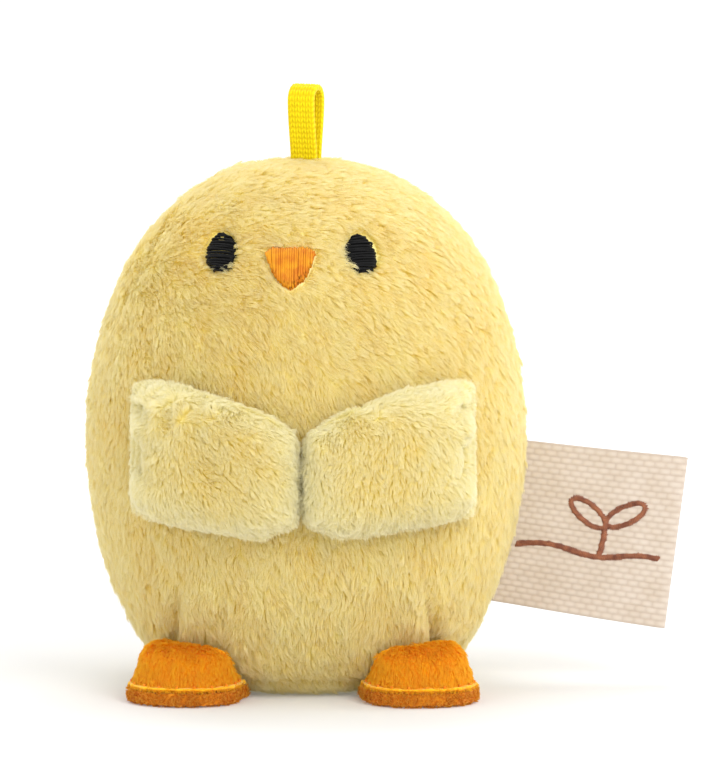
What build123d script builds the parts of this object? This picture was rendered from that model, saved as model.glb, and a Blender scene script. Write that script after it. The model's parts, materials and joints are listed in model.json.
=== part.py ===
from build123d import *
import os
from math import asin, atan, cos, degrees, radians, sin, sqrt

# A small plush chick that hangs from a loop of knitted tape: an egg-shaped stuffed body of pile
# fabric, two stuffed wings folded on the belly, two stuffed feet, an embroidered face and a folded
# woven label in the side seam.
#
# Frame: millimetres, +Z up, the toy faces -Y, and its own left side is +X. The origin is the middle
# of the flat base, on the ground. Every joint is sewn cloth, so each hinge line is a seam.

# ---- body: three tangent arcs turned about the body's axis ----
BODY_WIDTH = 65.6
BODY_HEIGHT = 79.0
WIDEST_HEIGHT = 36.8
CROWN_RADIUS = 30.4
BASE_CORNER = 13.0
CLOTH = 2.4  # backing and pile together
SEAM_ALLOWANCE = 3.6
FLANGE = 0.8  # one layer of cloth turned inwards at a seam, its pile crushed flat
EASE = 0.1  # air left between soft pieces that only touch
OVERCUT = 1.0  # how far a cutting form runs past what it cuts

# ---- sewing ----
THREAD_RADIUS = 0.22
SIDE_STITCHES = 56
BASE_STITCHES = 40
CLOSING_STITCHES = 7
CLOSING_STEP = 5.0  # degrees round the base

# ---- face ----
FACE_X = -1.8  # the stuffing turns the face a little towards the toy's right
EYE_SPREAD = 10.5
EYE_HEIGHT = 66.7
EYE_SIZE = (4.1, 5.1)
BEAK_TOP = 67.6
BEAK_SIZE = (7.6, 5.6)
BEAK_BOW = 1.0  # how far its sides swell beyond straight lines
BEAK_CORNER = 0.8
EMBROIDERY_FLOOR = -1.7  # measured from the tips of the pile
EMBROIDERY_TOP = -0.4
BACKING_SIZE = (30.0, 12.0)
BACKING_DROP = 1.0  # its middle lies this far below the eyes
BACKING_CORNER = 3.0
BACKING_THICKNESS = 0.3

# ---- wings ----
WING_ROOT = (25.3, 47.8, 28.0)  # x, and the heights of its upper and lower corners
WING_TIP = (0.5, 41.0, 28.2)
WING_LOW_POINT = (6.2, 25.9)
WING_BOW = 1.9  # how far the upper edge swells beyond a straight line
WING_GAP = 0.6
WING_THICKNESS = 6.2
WING_CLOTH = 1.6
WING_CORNER = 1.8
WING_STITCHES = 26
ROOT_STITCHES = 6
ROOT_STITCH_STEP = 3.0

# ---- feet ----
FOOT_PLACE = (17.0, -20.2)
FOOT_SIZE = (17.2, 21.0)
FOOT_TURN = 10.0
FOOT_CORNER = 7.6
FOOT_HEIGHT = 9.0
FOOT_LEAN = 0.28  # how far the sides lean in, per unit of height
FOOT_EDGE = 2.0
SOLE_THICKNESS = 2.4
FOOT_CLOTH = 1.4
FOOT_GAP = 0.6
FOOT_STITCHES = 22
FOOT_STITCH_LENGTH = 1.6
FOOT_TAB = (8.0, 5.0, 1.0)
FOOT_TAB_PLACE = (12.1, -13.1)
FOOT_TAB_INSET = 0.4  # it stops this far inside the pile's tips

# ---- hang loop ----
LOOP_RISE = 10.5
LOOP_WIDTH = 4.2
LOOP_CLOTH = 1.3
LOOP_EYE_WIDTH = 2.4
LOOP_TURN = -22.0  # seen from above, clockwise from facing straight ahead
LOOP_TUCK = 6.0
LOOP_PIVOT = 0.5  # above the crown
LOOP_ROOM = 0.4  # air round the tape where it passes into the crown
GROOVE_RADIUS = 2.0
TACK_STITCHES = 4
TACK_RISE = 1.0  # above the tape's ends

# ---- side label ----
LABEL_SIZE = (22.4, 25.4)
LABEL_CLOTH = 0.45
LABEL_THICKNESS = 1.1  # two layers and the air between them
LABEL_TILT = 7.5
LABEL_ROOT = (32.8, 23.8)  # x and z of the middle of its hinge line
LABEL_INSET = 0.9  # its sewn ends stop this far inside the hinge line
LABEL_TUCK = 5.4
LABEL_TRIM = 1.0  # its hidden ends are this much narrower

# ---- worked out ----
HALF_WIDTH = BODY_WIDTH / 2
SEAM_DEPTH = CLOTH + SEAM_ALLOWANCE
STITCH_DEPTH = CLOTH + SEAM_ALLOWANCE / 2
FACE_PLANE = Plane.XZ  # its normal is -Y, the way the toy faces
BASE_SEAM_PLANE = Plane.XY.offset(CLOTH)  # the side panels stand on the base panel

# The crown is part of a sphere. The flank's arc meets it CROWN_ANGLE above the horizontal, and
# meets the arc of the base's corner BASE_ANGLE below the horizontal.
CROWN_CENTRE = BODY_HEIGHT - CROWN_RADIUS
CROWN_ANGLE = 2 * atan((HALF_WIDTH - CROWN_RADIUS) / (CROWN_CENTRE - WIDEST_HEIGHT))
FLANK_RADIUS = CROWN_RADIUS + (CROWN_CENTRE - WIDEST_HEIGHT) / sin(CROWN_ANGLE)
FLANK_CENTRE = HALF_WIDTH - FLANK_RADIUS
BASE_ANGLE = asin((WIDEST_HEIGHT - BASE_CORNER) / (FLANK_RADIUS - BASE_CORNER))
BASE_RADIUS = FLANK_CENTRE + (FLANK_RADIUS - BASE_CORNER) * cos(BASE_ANGLE)
BASE_SEAM_RADIUS = BASE_RADIUS + sqrt(BASE_CORNER**2 - (BASE_CORNER - CLOTH) ** 2)


# ======== the body's form ========


def half_section(above=0.0):
    """Half of the body's middle section, its surface moved outwards by above."""
    low = degrees(BASE_ANGLE)
    high = degrees(CROWN_ANGLE)
    with BuildSketch(Plane.XZ) as half:
        with BuildLine():
            corner = CenterArc((BASE_RADIUS, BASE_CORNER), BASE_CORNER + above, -90, 90 - low)
            CenterArc((FLANK_CENTRE, WIDEST_HEIGHT), FLANK_RADIUS + above, -low, low + high)
            crown = CenterArc((0, CROWN_CENTRE), CROWN_RADIUS + above, high, 90 - high)
            Polyline(crown @ 1, (0, -above), corner @ 0)
        make_face()
    return half.sketch


def full_section(above=0.0):
    with BuildSketch(Plane.XZ) as full:
        add(half_section(above))
        mirror(half_section(above), about=Plane.YZ)
    return full.sketch


def body_form(above=0.0):
    """The body's outer form as a solid, its surface moved outwards by above."""
    with BuildPart() as form:
        add(half_section(above))
        revolve(axis=Axis.Z)
    return form.part


def layer_on_body(outline, low, high):
    """What lies behind an outline drawn in the front view, from low to high above the body."""
    with BuildPart() as layer:
        with BuildSketch(Plane.XZ):
            add(half_section(high))
            add(half_section(low), mode=Mode.SUBTRACT)
        revolve(axis=Axis.Z, revolution_arc=-180)
        extrude(outline, amount=BODY_WIDTH, mode=Mode.INTERSECT)
    return layer.part


def flank_plane(x, z, above):
    """A plane on the front of the flank at x and z, above the surface, facing outwards."""
    climb = z - WIDEST_HEIGHT
    reach = sqrt((FLANK_RADIUS + above) ** 2 - climb**2)
    radius = FLANK_CENTRE + reach
    y = -sqrt(radius**2 - x**2)
    return Plane(origin=(x, y, z), z_dir=(x, y, climb * radius / reach))


def threads(planes, length):
    """Short straight threads, each through the middle of a plane and square to it."""
    with BuildPart() as row:
        with BuildSketch(*planes):
            Circle(THREAD_RADIUS)
        extrude(amount=length / 2, both=True)
    return row.part


def evenly_along(sketch, count):
    """Evenly spaced points on the edge of a sketch of one face."""
    edge = sketch.faces()[0].outer_wire()
    return [edge.position_at((i + 0.5) / count) for i in range(count)]


def save(builder, name):
    builder.part.label = name
    export_step(builder.part, f"parts/{name}.step")


def save_pair(builder, name):
    """Write a piece of the toy's left side, and its twin on the right."""
    save(builder, "left_" + name)
    with BuildPart() as twin:
        mirror(builder.part, about=Plane.YZ)
    save(twin, "right_" + name)


os.makedirs("parts", exist_ok=True)

# ======== ends of the tapes and tabs that the seams hold ========

LOOP_AXIS_HEIGHT = BODY_HEIGHT + LOOP_PIVOT
LOOP_BASE = LOOP_AXIS_HEIGHT - GROOVE_RADIUS
LOOP_SIDE_PLANE = Plane.YZ.rotated((0, 0, LOOP_TURN))  # seen along the width of the tape
LOOP_FRONT_PLANE = Plane.XZ.rotated((0, 0, LOOP_TURN))
LABEL_ALONG = (cos(radians(LABEL_TILT)), 0, -sin(radians(LABEL_TILT)))
LABEL_HINGE = (sin(radians(LABEL_TILT)), 0, cos(radians(LABEL_TILT)))
LABEL_MIDDLE = (LABEL_ROOT[0], 0, LABEL_ROOT[1])
LABEL_PLANE = Plane(LABEL_MIDDLE, x_dir=LABEL_ALONG, z_dir=(0, -1, 0))
LABEL_EDGE_PLANE = Plane(LABEL_MIDDLE, x_dir=LABEL_ALONG, z_dir=LABEL_HINGE)
FOOT_TAB_PLANE = BASE_SEAM_PLANE.offset(-EASE)


def loop_ends(grow=0.0):
    """The two ends of the loop's tape, flat together, below the crown."""
    with BuildPart() as ends:
        with BuildSketch(Plane.XY.offset(LOOP_BASE - EASE + grow).rotated((0, 0, LOOP_TURN))):
            Rectangle(LOOP_WIDTH + 2 * grow, 2 * (LOOP_CLOTH + grow))
        extrude(amount=-LOOP_TUCK - 2 * grow)
    return ends.part


def label_ends(grow=0.0):
    """The two ends of the label's tape, from just inside its hinge line to inside the seam."""
    with BuildPart() as ends:
        with BuildSketch(LABEL_PLANE):
            with Locations((grow - LABEL_INSET, 0)):
                Rectangle(
                    LABEL_TUCK + 2 * grow,
                    LABEL_SIZE[1] - LABEL_TRIM + 2 * grow,
                    align=(Align.MAX, Align.CENTER),
                )
        extrude(amount=LABEL_CLOTH + grow, both=True)
    return ends.part


def foot_tab(grow=0.0):
    """The raw edge of the left foot, laid flat under the base seam."""
    with BuildPart() as tab:
        with BuildSketch(FOOT_TAB_PLANE):
            with Locations(Location((*FOOT_TAB_PLACE, 0), FOOT_TURN)):
                Rectangle(FOOT_TAB[0] + 2 * grow, FOOT_TAB[1] + 2 * grow)
        extrude(amount=-FOOT_TAB[2] - grow)
        add(body_form(grow - FOOT_TAB_INSET), mode=Mode.INTERSECT)
    return tab.part


with BuildPart() as loop_tucked_ends:
    add(loop_ends())
save(loop_tucked_ends, "loop_tucked_ends")

with BuildPart() as label_tucked_ends:
    add(label_ends())
save(label_tucked_ends, "label_tucked_ends")

with BuildPart() as left_foot_tab:
    add(foot_tab())
save_pair(left_foot_tab, "foot_tab")

# ======== face ========


def eye_outline(side, grow=0.0):
    with BuildSketch(FACE_PLANE) as eye:
        with Locations((FACE_X + side * EYE_SPREAD, EYE_HEIGHT)):
            Ellipse(EYE_SIZE[0] / 2 + grow, EYE_SIZE[1] / 2 + grow)
    return eye.sketch


def beak_outline(grow=0.0):
    """A rounded triangle with bowed sides, its point down."""
    with BuildSketch() as triangle:
        with BuildLine():
            top = Line((-BEAK_SIZE[0] / 2, 0), (BEAK_SIZE[0] / 2, 0))
            right = SagittaArc(top @ 1, (0, -BEAK_SIZE[1]), BEAK_BOW)
            SagittaArc(right @ 1, top @ 0, BEAK_BOW)
        make_face()
        fillet(triangle.vertices(), radius=BEAK_CORNER)
        if grow:
            offset(amount=grow)
    with BuildSketch(FACE_PLANE) as beak:
        with Locations((FACE_X, BEAK_TOP)):
            add(triangle.sketch)
    return beak.sketch


with BuildPart() as left_eye_stitching:
    add(layer_on_body(eye_outline(1), EMBROIDERY_FLOOR, EMBROIDERY_TOP))
save(left_eye_stitching, "left_eye_stitching")

with BuildPart() as right_eye_stitching:
    add(layer_on_body(eye_outline(-1), EMBROIDERY_FLOOR, EMBROIDERY_TOP))
save(right_eye_stitching, "right_eye_stitching")

with BuildPart() as beak_stitching:
    add(layer_on_body(beak_outline(), EMBROIDERY_FLOOR, EMBROIDERY_TOP))
save(beak_stitching, "beak_stitching")

# The embroidery is sewn through a sheet of stabiliser that stays on the cloth's inner side.
with BuildSketch(FACE_PLANE) as backing_outline:
    with Locations((FACE_X, EYE_HEIGHT - BACKING_DROP)):
        RectangleRounded(*BACKING_SIZE, radius=BACKING_CORNER)

with BuildPart() as embroidery_backing:
    add(layer_on_body(backing_outline.sketch, -CLOTH - EASE - BACKING_THICKNESS, -CLOTH - EASE))
save(embroidery_backing, "embroidery_backing")

# ======== body cover ========

# Everything that is let into the cloth: tape ends, tabs and the groove the loop folds over in.
with BuildPart() as slots:
    add(loop_ends(EASE))
    add(label_ends(EASE))
    add(foot_tab(EASE))
    mirror(foot_tab(EASE), about=Plane.YZ)
    with BuildSketch(LOOP_SIDE_PLANE):
        with Locations((0, LOOP_AXIS_HEIGHT)):
            Circle(GROOVE_RADIUS)
    extrude(amount=LOOP_WIDTH / 2 + LOOP_ROOM, both=True)

# One half of the side cloth, with a seam allowance turned inwards at its side and lower edges.
with BuildPart() as half_cover:
    with BuildSketch(Plane.XZ):
        add(half_section())
        add(half_section(-CLOTH), mode=Mode.SUBTRACT)
        with Locations((0, CLOTH)):
            Rectangle(BODY_WIDTH, BODY_HEIGHT, align=Align.MIN, mode=Mode.INTERSECT)
    revolve(axis=Axis.Z, revolution_arc=-180)
    with BuildSketch(FACE_PLANE):
        add(full_section(FLANGE - CLOTH))
        add(full_section(-SEAM_DEPTH), mode=Mode.SUBTRACT)
        with Locations((0, CLOTH)):
            Rectangle(
                BODY_WIDTH,
                BODY_HEIGHT,
                align=(Align.CENTER, Align.MIN),
                mode=Mode.INTERSECT,
            )
    extrude(amount=FLANGE)
    with BuildSketch(BASE_SEAM_PLANE):
        Circle(BASE_SEAM_RADIUS - CLOTH + FLANGE)
        Circle(BASE_SEAM_RADIUS - SEAM_DEPTH, mode=Mode.SUBTRACT)
        Rectangle(BODY_WIDTH, BODY_WIDTH, align=(Align.CENTER, Align.MAX), mode=Mode.INTERSECT)
    extrude(amount=FLANGE)

with BuildPart() as front_panel:
    add(half_cover.part)
    add(slots.part, mode=Mode.SUBTRACT)
    for face_part in (eye_outline(1, EASE), eye_outline(-1, EASE), beak_outline(EASE)):
        add(layer_on_body(face_part, EMBROIDERY_FLOOR - EASE / 2, OVERCUT), mode=Mode.SUBTRACT)
save(front_panel, "front_panel")

with BuildPart() as back_panel:
    mirror(half_cover.part, about=Plane.XZ)
    add(slots.part, mode=Mode.SUBTRACT)
save(back_panel, "back_panel")

with BuildPart() as base_panel:
    with BuildSketch(Plane.XZ):
        add(half_section())
        Rectangle(BODY_WIDTH, CLOTH, align=Align.MIN, mode=Mode.INTERSECT)
    revolve(axis=Axis.Z)
    add(slots.part, mode=Mode.SUBTRACT)
save(base_panel, "base_panel")

# ======== body filling ========

FILLING_DEPTH = CLOTH + BACKING_THICKNESS + 2 * EASE
SEAM_ROOM = FLANGE + THREAD_RADIUS + 2 * EASE

with BuildPart() as body_filling:
    add(body_form(-FILLING_DEPTH))
    with BuildSketch(FACE_PLANE):
        add(full_section())
        add(full_section(-SEAM_DEPTH - EASE), mode=Mode.SUBTRACT)
    extrude(amount=SEAM_ROOM, both=True, mode=Mode.SUBTRACT)
    with BuildSketch(BASE_SEAM_PLANE):
        Circle(BODY_WIDTH)
        Circle(BASE_SEAM_RADIUS - SEAM_DEPTH - EASE, mode=Mode.SUBTRACT)
    extrude(amount=SEAM_ROOM, mode=Mode.SUBTRACT)
    add(loop_ends(LOOP_ROOM), mode=Mode.SUBTRACT)
save(body_filling, "body_filling")

# ======== threads of the body ========

THROUGH_SEAM = 2 * (FLANGE + THREAD_RADIUS)

side_planes = [
    Plane(origin=(p.X, 0, p.Z), z_dir=(0, -1, 0))
    for p in evenly_along(full_section(-STITCH_DEPTH), SIDE_STITCHES)
    if p.Z > 2 * CLOTH and not (abs(p.X) < LOOP_WIDTH and p.Z > WIDEST_HEIGHT)
]

with BuildPart() as side_seam_thread:
    add(threads(side_planes, THROUGH_SEAM))
save(side_seam_thread, "side_seam_thread")


def base_plane(angle, depth):
    """A level plane on the base seam, depth inside the surface."""
    radius = BASE_SEAM_RADIUS - depth
    return Plane((radius * cos(radians(angle)), radius * sin(radians(angle)), CLOTH))


with BuildPart() as base_seam_thread:
    add(
        threads(
            [
                base_plane(360 * (i + 0.5) / BASE_STITCHES, STITCH_DEPTH)
                for i in range(BASE_STITCHES)
            ],
            THROUGH_SEAM,
        )
    )
save(base_seam_thread, "base_seam_thread")

# The gap left for stuffing is closed by hand at the back of the base seam.
with BuildPart() as closing_stitches:
    add(
        threads(
            [
                base_plane(90 + CLOSING_STEP * (i - CLOSING_STITCHES // 2), CLOTH / 2)
                for i in range(CLOSING_STITCHES)
            ],
            THROUGH_SEAM,
        )
    )
save(closing_stitches, "closing_stitches")

with BuildPart() as loop_bar_tack:
    with BuildSketch(LOOP_FRONT_PLANE):
        with Locations((0, LOOP_BASE - LOOP_TUCK + TACK_RISE)):
            with GridLocations(LOOP_WIDTH / TACK_STITCHES, 1, TACK_STITCHES, 1):
                Circle(THREAD_RADIUS)
    extrude(amount=LOOP_CLOTH + 2 * EASE, both=True)
save(loop_bar_tack, "loop_bar_tack")

# ======== hang loop ========

# Seen along its width, the tape rises from its stacked ends, opens and turns over a round top.
with BuildPart() as hang_loop:
    with BuildSketch(LOOP_SIDE_PLANE):
        with BuildLine():
            reach = (LOOP_EYE_WIDTH + LOOP_CLOTH) / 2
            turn_height = LOOP_AXIS_HEIGHT + LOOP_RISE - reach - LOOP_CLOTH / 2
            over = CenterArc((0, turn_height), reach, 0, 180)
            foot = LOOP_CLOTH / 2
            Spline(over @ 1, (-foot, LOOP_AXIS_HEIGHT), tangents=((0, -1), (0, -1)))
            Spline((foot, LOOP_AXIS_HEIGHT), over @ 0, tangents=((0, 1), (0, 1)))
        trace(line_width=LOOP_CLOTH)
        with Locations((0, LOOP_AXIS_HEIGHT)):
            Circle(LOOP_CLOTH)
    extrude(amount=LOOP_WIDTH / 2, both=True)
save(hang_loop, "hang_loop")

# ======== side label ========

# A strip of woven tape folded at its outer end, so that it is two layers thick.
with BuildPart() as side_label:
    with BuildSketch(LABEL_EDGE_PLANE):
        Rectangle(LABEL_SIZE[0], LABEL_THICKNESS, align=(Align.MIN, Align.CENTER))
        with Locations((LABEL_CLOTH, 0)):
            Rectangle(
                LABEL_SIZE[0] - 2 * LABEL_CLOTH,
                LABEL_THICKNESS - 2 * LABEL_CLOTH,
                align=(Align.MIN, Align.CENTER),
                mode=Mode.SUBTRACT,
            )
    extrude(amount=LABEL_SIZE[1] / 2, both=True)
save(side_label, "side_label")

# ======== wings ========


def wing_outline(shrink=0.0):
    """The left wing in the front view: square at its sewn root, rounded where the wings meet."""
    root_x, root_top, root_bottom = WING_ROOT
    tip_x, tip_top, tip_bottom = WING_TIP
    with BuildSketch() as wing:
        with BuildLine():
            upper = SagittaArc((root_x, root_top), (tip_x, tip_top), -WING_BOW)
            Polyline(
                upper @ 1,
                (tip_x, tip_bottom),
                WING_LOW_POINT,
                (root_x, root_bottom),
                upper @ 0,
            )
        make_face()
        fillet(wing.vertices(), radius=WING_CORNER)
        if shrink:
            offset(amount=-shrink)
    with BuildSketch(FACE_PLANE) as placed:
        add(wing.sketch)
    return placed.sketch


INNER_TOP = WING_GAP + WING_CLOTH
OUTER_TOP = WING_GAP + WING_THICKNESS

with BuildPart() as left_wing_inner_panel:
    add(layer_on_body(wing_outline(), WING_GAP, INNER_TOP))
save_pair(left_wing_inner_panel, "wing_inner_panel")

with BuildPart() as left_wing_filling:
    add(
        layer_on_body(
            wing_outline(WING_CLOTH + EASE),
            INNER_TOP + EASE,
            OUTER_TOP - WING_CLOTH - EASE,
        )
    )
save_pair(left_wing_filling, "wing_filling")

with BuildPart() as left_wing_outer_panel:
    add(layer_on_body(wing_outline(), INNER_TOP, OUTER_TOP))
    add(
        layer_on_body(wing_outline(WING_CLOTH), INNER_TOP - OVERCUT, OUTER_TOP - WING_CLOTH),
        mode=Mode.SUBTRACT,
    )
save_pair(left_wing_outer_panel, "wing_outer_panel")

wing_edge_planes = [
    flank_plane(p.X, p.Z, INNER_TOP)
    for p in evenly_along(wing_outline(WING_CLOTH / 2), WING_STITCHES)
]

with BuildPart() as left_wing_edge_thread:
    add(threads(wing_edge_planes, WING_CLOTH))
save_pair(left_wing_edge_thread, "wing_edge_thread")

wing_root_planes = [
    flank_plane(
        WING_ROOT[0] - WING_CLOTH,
        (WING_ROOT[1] + WING_ROOT[2]) / 2 + ROOT_STITCH_STEP * (i - (ROOT_STITCHES - 1) / 2),
        (WING_GAP - CLOTH) / 2,
    )
    for i in range(ROOT_STITCHES)
]

with BuildPart() as left_wing_root_stitches:
    add(threads(wing_root_planes, CLOTH - EASE))
save_pair(left_wing_root_stitches, "wing_root_stitches")

# ======== feet ========


def foot_outline(height, shrink=0.0):
    """The left foot in plan, its toes turned out."""
    with BuildSketch(Plane.XY.offset(height)) as foot:
        with Locations(Location((*FOOT_PLACE, 0), FOOT_TURN)):
            RectangleRounded(*[size - 2 * shrink for size in FOOT_SIZE], radius=FOOT_CORNER - shrink)
    return foot.sketch


def foot_form(bottom, top, shrink=0.0):
    """A foot's solid between two heights, its sides leaning in from the seam upwards."""
    lean = FOOT_LEAN * (top - SOLE_THICKNESS)
    with BuildPart() as form:
        loft(sections=[foot_outline(bottom, shrink), foot_outline(top, shrink + lean)])
    return form.part


with BuildPart() as left_foot_sole:
    extrude(foot_outline(0), amount=SOLE_THICKNESS)
    add(body_form(FOOT_GAP), mode=Mode.SUBTRACT)
save_pair(left_foot_sole, "foot_sole")

with BuildPart() as left_foot_upper:
    add(foot_form(SOLE_THICKNESS, FOOT_HEIGHT))
    fillet(left_foot_upper.faces().sort_by(Axis.Z)[-1].edges(), radius=FOOT_EDGE)
    add(foot_form(SOLE_THICKNESS, FOOT_HEIGHT - FOOT_CLOTH, FOOT_CLOTH), mode=Mode.SUBTRACT)
    add(body_form(FOOT_GAP), mode=Mode.SUBTRACT)
save_pair(left_foot_upper, "foot_upper")

with BuildPart() as left_foot_filling:
    add(foot_form(SOLE_THICKNESS + EASE, FOOT_HEIGHT - FOOT_CLOTH - EASE, FOOT_CLOTH + EASE))
    add(body_form(FOOT_GAP + EASE), mode=Mode.SUBTRACT)
save_pair(left_foot_filling, "foot_filling")

foot_edge_planes = [
    Plane.XY.move(Location((p.X, p.Y, SOLE_THICKNESS)))
    for p in evenly_along(foot_outline(0, FOOT_CLOTH / 2), FOOT_STITCHES)
    if p.Y < FOOT_PLACE[1]
]

with BuildPart() as left_foot_edge_thread:
    add(threads(foot_edge_planes, FOOT_STITCH_LENGTH))
save_pair(left_foot_edge_thread, "foot_edge_thread")
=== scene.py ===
import json
import math

import bmesh
import bpy
import numpy as np
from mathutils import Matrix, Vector
from mathutils.bvhtree import BVHTree
from mathutils.kdtree import KDTree


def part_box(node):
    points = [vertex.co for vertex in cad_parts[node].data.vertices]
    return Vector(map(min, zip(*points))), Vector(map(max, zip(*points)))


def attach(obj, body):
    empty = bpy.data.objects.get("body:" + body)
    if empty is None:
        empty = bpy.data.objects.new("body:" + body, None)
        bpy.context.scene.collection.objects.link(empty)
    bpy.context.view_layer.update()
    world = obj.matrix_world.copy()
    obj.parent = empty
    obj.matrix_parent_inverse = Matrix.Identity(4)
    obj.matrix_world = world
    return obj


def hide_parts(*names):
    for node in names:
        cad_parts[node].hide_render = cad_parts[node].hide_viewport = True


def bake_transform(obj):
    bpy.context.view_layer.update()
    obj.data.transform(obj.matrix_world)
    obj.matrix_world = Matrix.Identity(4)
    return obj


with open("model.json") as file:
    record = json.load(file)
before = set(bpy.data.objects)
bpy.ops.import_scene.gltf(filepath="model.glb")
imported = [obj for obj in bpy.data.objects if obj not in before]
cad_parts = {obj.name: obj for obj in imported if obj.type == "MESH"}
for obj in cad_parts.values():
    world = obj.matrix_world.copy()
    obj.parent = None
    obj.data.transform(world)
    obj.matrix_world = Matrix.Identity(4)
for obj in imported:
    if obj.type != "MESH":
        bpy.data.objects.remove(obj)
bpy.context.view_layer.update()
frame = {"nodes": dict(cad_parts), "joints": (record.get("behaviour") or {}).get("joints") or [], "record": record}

# The plush chick's looks: pile, satin stitching, knitted loop and woven label. The script works in
# metres in the frame's axes. Sizes of fibres, threads and weaves are given in millimetres times MM.
MM = 0.001
UP = np.array((0.0, 0.0, 1.0))

# ======== reading the frame ========


def box(node):
    """A node's lowest and highest corners, and its middle."""
    low, high = (np.array(corner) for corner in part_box(node))
    return low, high, (low + high) / 2


def joint(name):
    return next(j for j in frame["joints"] if j["name"] == name)


def cad_surface(*nodes):
    """The points and faces of some CAD nodes."""
    points = []
    faces = []
    for node in nodes:
        mesh = frame["nodes"][node].data
        faces += [[len(points) + i for i in p.vertices] for p in mesh.polygons]
        points += [tuple(v.co) for v in mesh.vertices]
    return points, faces


BODY_HEIGHT = box("back_panel")[1][2]
MIDDLE_SHARE = 0.46  # of the body's height, where the rays that read its form come from
BODY_MIDDLE = np.array((0.0, 0.0, MIDDLE_SHARE * BODY_HEIGHT))
CROWN_GAP = 12.0  # degrees round the crown where the loop's groove hides the form
PROFILE_STEP = 0.5  # degrees between two rays
OUTSIDE = 100 * MM  # a distance from the middle that is outside the body


def read_profile():
    """The body's half section as radii and heights, read off the CAD's back and base."""
    tree = BVHTree.FromPolygons(*cad_surface("back_panel", "base_panel"))
    middle = Vector(BODY_MIDDLE)
    elevation = np.arange(-90.0, 90.0 - CROWN_GAP, PROFILE_STEP)
    reach = []
    for angle in np.radians(elevation):
        way = Vector((0, math.cos(angle), math.sin(angle)))
        hit = tree.ray_cast(middle + way * OUTSIDE, -way)
        reach.append((hit[0] - middle).length)
    near = elevation > 90 - 3 * CROWN_GAP
    cap = np.polyfit((90 - elevation[near]) ** 2, np.array(reach)[near], 1)
    crown = np.arange(90 - CROWN_GAP, 90 + PROFILE_STEP / 5, PROFILE_STEP)
    elevation = np.concatenate((elevation, crown))
    reach = np.concatenate((reach, np.polyval(cap, (90 - crown) ** 2)))
    return np.radians(elevation), reach


PROFILE_ANGLE, PROFILE_REACH = read_profile()
PROFILE_RADIUS = PROFILE_REACH * np.cos(PROFILE_ANGLE)
PROFILE_HEIGHT = BODY_MIDDLE[2] + PROFILE_REACH * np.sin(PROFILE_ANGLE)


def on_front(x, z, above=0.0):
    """Points on the front of the body at x and z, and the way out of the surface there."""
    x, z = np.broadcast_arrays(np.asarray(x, float), np.asarray(z, float))
    step = 0.5 * MM
    radius = np.interp(z, PROFILE_HEIGHT, PROFILE_RADIUS)
    slope = (
        np.interp(z + step, PROFILE_HEIGHT, PROFILE_RADIUS)
        - np.interp(z - step, PROFILE_HEIGHT, PROFILE_RADIUS)
    ) / (2 * step)
    y = -np.sqrt(np.maximum(radius**2 - x**2, 0))
    out = unit(np.stack((x / radius, y / radius, -slope), axis=-1))
    return np.stack((x, y, z), axis=-1) + above * out, out


# ======== small tools ========


def unit(v):
    return v / np.maximum(np.linalg.norm(v, axis=-1, keepdims=True), 1e-12)


NOISE_SIDE = 32  # how many cells the noise runs before it repeats
NOISE_SHIFT = 1000.0  # in cells, so that every place counts as positive


def noise(points, cell, seed):
    """Smooth values from -1 to 1 that change over a distance of cell."""
    lattice = np.random.default_rng(seed).uniform(-1, 1, (NOISE_SIDE,) * 3)
    p = np.asarray(points) / np.asarray(cell) + NOISE_SHIFT
    base = np.floor(p).astype(int)
    f = p - base
    f = f * f * (3 - 2 * f)
    total = 0
    for corner in np.ndindex(2, 2, 2):
        i, j, k = ((base + corner) % NOISE_SIDE).T
        w = np.prod(np.where(np.array(corner) == 1, f, 1 - f), axis=1)
        total = total + lattice[i, j, k] * w
    return total


def bump(distance, width):
    """A smooth hill: 1 where distance is 0, and near 0 beyond twice the width."""
    return np.exp(-((distance / width) ** 2))


def new_object(name, data):
    item = bpy.data.objects.new(name, data)
    bpy.context.scene.collection.objects.link(item)
    return item


def mesh_object(name, points, faces, smooth=True):
    faces = faces.tolist() if isinstance(faces, np.ndarray) else faces
    mesh = bpy.data.meshes.new(name)
    mesh.from_pydata(np.asarray(points).tolist(), [], faces)
    mesh.update()
    mesh.validate()
    if smooth:
        mesh.shade_smooth()
    return new_object(name, mesh)


def apply_modifiers(item):
    """Puts what an object's modifiers make in place of its mesh."""
    graph = bpy.context.evaluated_depsgraph_get()
    made = bpy.data.meshes.new_from_object(item.evaluated_get(graph))
    item.modifiers.clear()
    item.data = made
    item.data.shade_smooth()


def vertex_array(item, key="co"):
    out = np.empty(len(item.data.vertices) * 3)
    item.data.vertices.foreach_get(key, out)
    return out.reshape(-1, 3)


def move_vertices(item, points):
    item.data.vertices.foreach_set("co", np.asarray(points).ravel())
    item.data.update()


def store_dye_and_painted_light(item, values):
    """Stores how deep the colour is at each vertex, 0 pale and 1 deep, for the materials to read: partly dye and
    partly painted light, such as painted shade in hollows and gaps and painted sheen on the wings' rims.
    """
    layer = item.data.attributes.new("dye_and_painted_light", "FLOAT", "POINT")
    layer.data.foreach_set("value", np.clip(values, 0, 1).astype(np.float32))


def triangles(item):
    """Corners of every triangle of a mesh as vertex numbers."""
    item.data.calc_loop_triangles()
    out = np.empty(len(item.data.loop_triangles) * 3, dtype=int)
    item.data.loop_triangles.foreach_get("vertices", out)
    return out.reshape(-1, 3)


def finish_piece(item, body, material, nodes=()):
    """Gives a piece its material and the body it rides on, and hides the CAD nodes it stands for."""
    item.data.materials.clear()
    item.data.materials.append(material)
    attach(item, body)
    if nodes:
        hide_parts(*nodes)


def finish_bending_piece(item, material, nodes):
    """Gives a piece its material, puts its placement into its mesh and hides the CAD nodes it stands for."""
    item.data.materials.clear()
    item.data.materials.append(material)
    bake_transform(item)
    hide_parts(*nodes)


# ======== materials ========


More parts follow.
